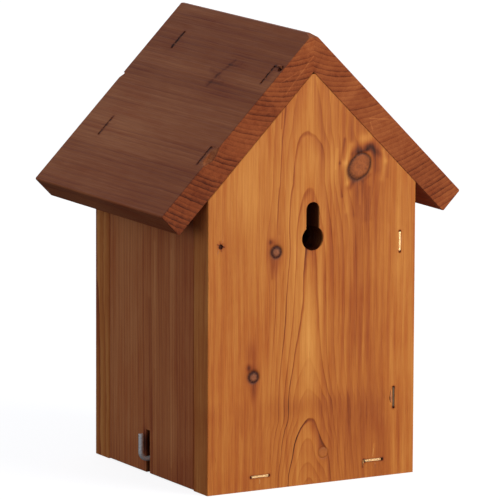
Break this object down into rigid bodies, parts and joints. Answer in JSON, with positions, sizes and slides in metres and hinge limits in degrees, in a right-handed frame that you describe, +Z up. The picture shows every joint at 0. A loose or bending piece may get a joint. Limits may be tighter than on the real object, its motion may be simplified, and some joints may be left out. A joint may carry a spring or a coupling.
{
  "type": "birdhouse",
  "caption": "Gabled wooden nest box with a mitred roof, round front entrance, keyhole hanger in the back and a side board that swings open past a wire latch.",
  "frame": {"origin": "centre of the base on the surface it stands on, under the middle of the whole box", "axes": "+Z up, entrance front towards -Y, wall-hanging back towards +Y, opening side board towards +X"},
  "size_m": [0.2146, 0.168, 0.2856],
  "materials": {
    "back_timber": "stained softwood, satin",
    "front_timber": "stained softwood, satin",
    "side_timber": "stained softwood, satin",
    "door_timber": "stained softwood, satin",
    "floor_timber": "stained softwood, satin",
    "roof_timber": "stained softwood, satin",
    "zinc_wire": "zinc plated wire",
    "staple_wire": "lacquered staple wire",
    "nail_steel": "dull steel"
  },
  "bodies": {
    "carcass": {"back_panel": "back_timber", "front_panel": "front_timber", "fixed_side": "side_timber", "floor_board": "floor_timber", "roof_board_door_side": "roof_timber", "roof_board_fixed_side": "roof_timber", "pivot_nail_back": "nail_steel", "pivot_nail_front": "nail_steel", "staples_back_to_side": "staple_wire", "staples_back_to_floor": "staple_wire", "staples_front_to_side": "staple_wire", "staples_front_to_floor": "staple_wire", "staples_door_slope_to_back": "staple_wire", "staples_door_slope_to_front": "staple_wire", "staples_fixed_slope_to_back": "staple_wire", "staples_fixed_slope_to_front": "staple_wire"},
    "door": {"side_door": "door_timber"},
    "latch": {"latch_hook": "zinc_wire"}
  },
  "joints": [
    {"name": "door_swing", "type": "hinge", "parent": "carcass", "child": "door", "pos_m": [0.066, 0, 0.157], "axis": [0, -1, 0], "range_deg": [0, 85]},
    {"name": "latch_turn", "type": "hinge", "parent": "carcass", "child": "latch", "pos_m": [0.06, 0.007, 0.0098], "axis": [1, 0, 0], "range_deg": [-90, 90]}
  ]
}
